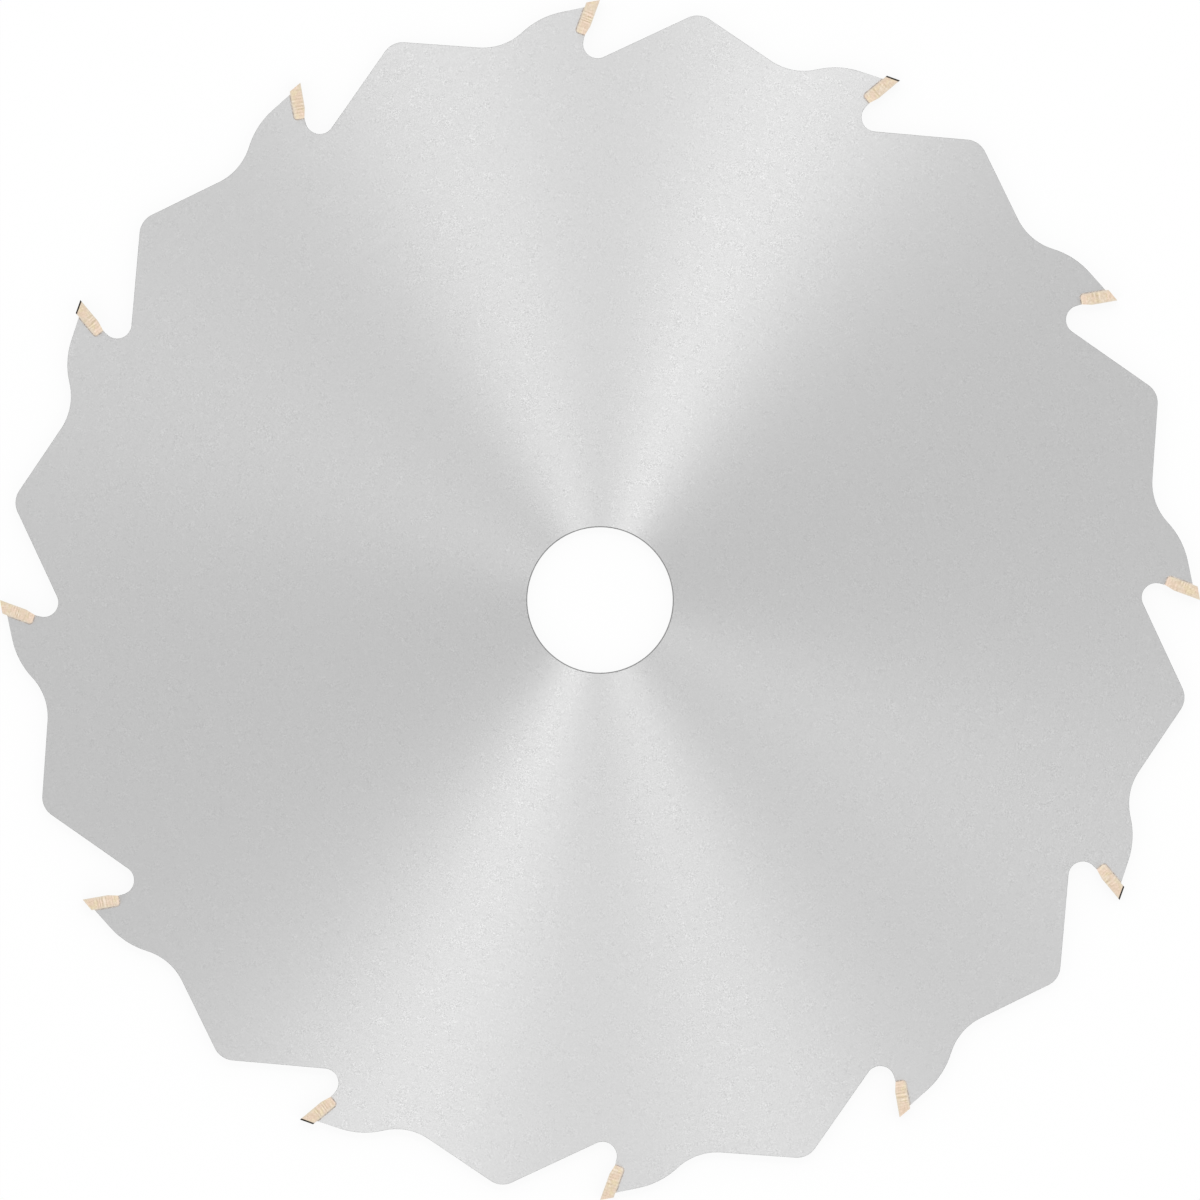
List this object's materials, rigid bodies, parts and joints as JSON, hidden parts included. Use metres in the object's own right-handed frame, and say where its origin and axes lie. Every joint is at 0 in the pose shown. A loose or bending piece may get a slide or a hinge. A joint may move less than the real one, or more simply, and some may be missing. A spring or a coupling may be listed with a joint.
{
  "type": "tct circular saw blade",
  "caption": "Flat steel circular saw blade with a round arbor bore, chip limiters behind its gullets, and brazed carbide tips ground in a bevel and flat pattern.",
  "frame": {"origin": "centre of the arbor bore, in the middle of the plate's thickness", "axes": "+Z along the bore, out of the face that shows in the picture; +Y through the cutting point of the first tip; the teeth point clockwise seen from +Z"},
  "size_m": [0.165, 0.165, 0.0026],
  "materials": {
    "steel_plate": "circular ground satin",
    "carbide": "fine ground, pale bronze tone",
    "braze": "dull silver braze"
  },
  "bodies": {
    "root": {"blade_body": "steel_plate", "tip_01": "carbide", "tip_02": "carbide", "tip_03": "carbide", "tip_04": "carbide", "tip_05": "carbide", "tip_06": "carbide", "tip_07": "carbide", "tip_08": "carbide", "tip_09": "carbide", "tip_10": "carbide", "tip_11": "carbide", "tip_12": "carbide", "braze_01": "braze", "braze_02": "braze", "braze_03": "braze", "braze_04": "braze", "braze_05": "braze", "braze_06": "braze", "braze_07": "braze", "braze_08": "braze", "braze_09": "braze", "braze_10": "braze", "braze_11": "braze", "braze_12": "braze"}
  },
  "joints": []
}
